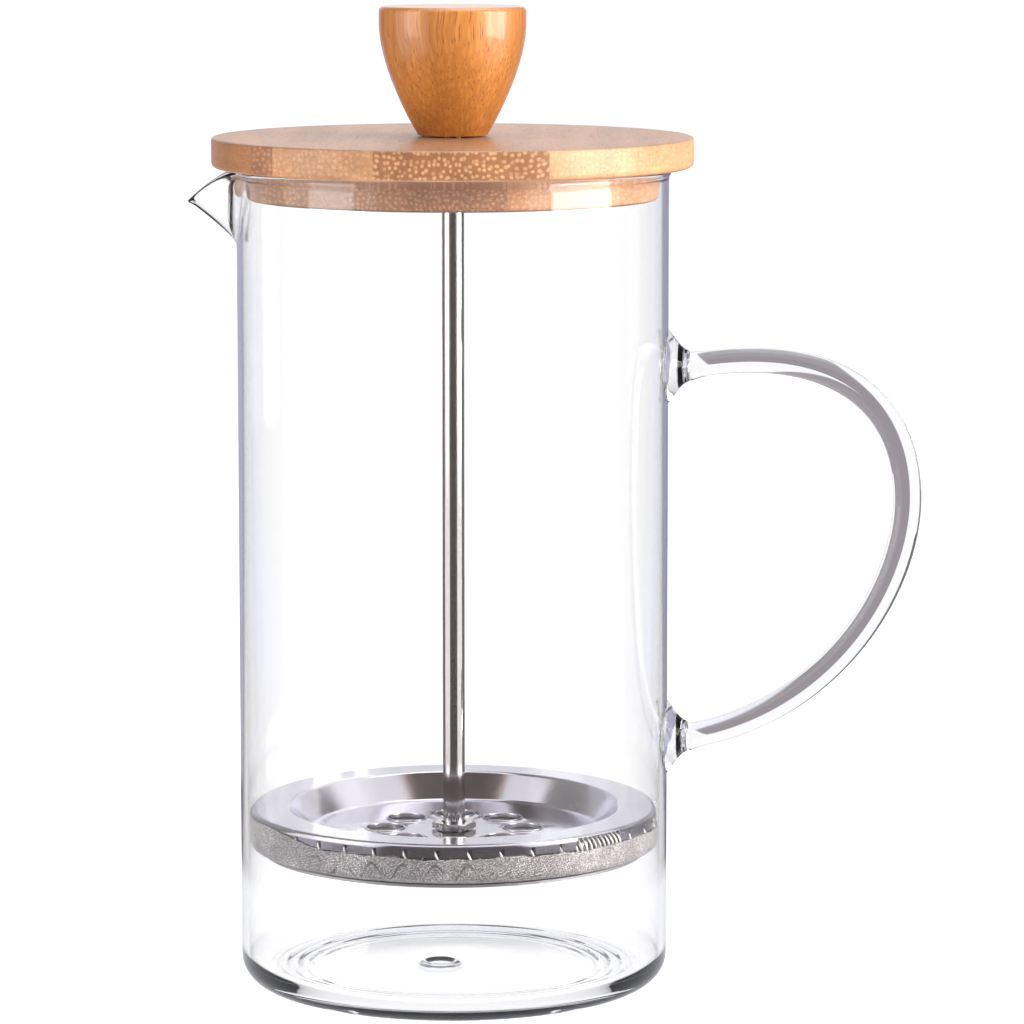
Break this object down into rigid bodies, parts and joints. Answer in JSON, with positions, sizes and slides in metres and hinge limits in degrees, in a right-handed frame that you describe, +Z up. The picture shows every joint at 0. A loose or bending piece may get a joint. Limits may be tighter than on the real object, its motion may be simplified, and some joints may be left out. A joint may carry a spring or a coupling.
{
  "type": "french press",
  "caption": "French press: clear glass beaker with a pulled spout and a bent glass rod handle, bamboo lid and knob, and a steel plunger with a spring-edged mesh filter.",
  "frame": {"origin": "centre of the beaker's flat underside, on the beaker's axis", "axes": "+Z up along the beaker and the plunger rod, +X from the beaker towards the handle, -X towards the spout, +Y completes a right-handed frame"},
  "size_m": [0.1649, 0.108, 0.221],
  "materials": {
    "glass": "clear fire-polished borosilicate glass",
    "bamboo": "satin lacquered laminated bamboo",
    "lacquered_bamboo": "semi-gloss amber lacquered bamboo",
    "polished_steel": "polished stainless steel",
    "satin_steel": "satin stainless steel",
    "wire_steel": "fine stainless steel wire",
    "brass": "plain machined brass"
  },
  "bodies": {
    "beaker": {"glass_beaker": "glass", "glass_handle": "glass"},
    "lid": {"lid_disc": "bamboo", "lid_plug": "bamboo", "lid_bush": "polished_steel"},
    "plunger": {"plunger_rod": "polished_steel", "lock_nut": "polished_steel"},
    "knob_thread": {"knob_insert": "brass"},
    "knob": {"knob": "lacquered_bamboo"},
    "filter_pack": {"spiral_plate": "polished_steel", "coil_spring": "wire_steel", "mesh_screen": "wire_steel"},
    "cross_plate": {"cross_plate": "satin_steel", "cross_plate_hub": "satin_steel"}
  },
  "joints": [
    {"name": "lid_lift", "type": "slide", "parent": "beaker", "child": "lid", "axis": [0, 0, 1], "range_m": [0, 0.17]},
    {"name": "plunger_slide", "type": "slide", "parent": "lid", "child": "plunger", "axis": [0, 0, 1], "range_m": [0, 0.1375]},
    {"name": "knob_rise", "type": "slide", "parent": "plunger", "child": "knob_thread", "axis": [0, 0, 1], "range_m": [0, 0.012]},
    {"name": "knob_unscrew", "type": "hinge", "parent": "knob_thread", "child": "knob", "pos_m": [0, 0, 0.1923], "axis": [0, 0, 1], "range_deg": [0, 5400]},
    {"name": "filter_drop", "type": "slide", "parent": "plunger", "child": "filter_pack", "axis": [0, 0, -1], "range_m": [0, 0.0064]},
    {"name": "cross_plate_unscrew", "type": "hinge", "parent": "filter_pack", "child": "cross_plate", "pos_m": [0, 0, 0.0323], "axis": [0, 0, -1], "range_deg": [0, 2880]}
  ],
  "couplings": [
    {"joint": "knob_rise", "follows": "knob_unscrew", "m_per_rad": 0.00012732},
    {"joint": "filter_drop", "follows": "cross_plate_unscrew", "m_per_rad": 0.00012732}
  ]
}
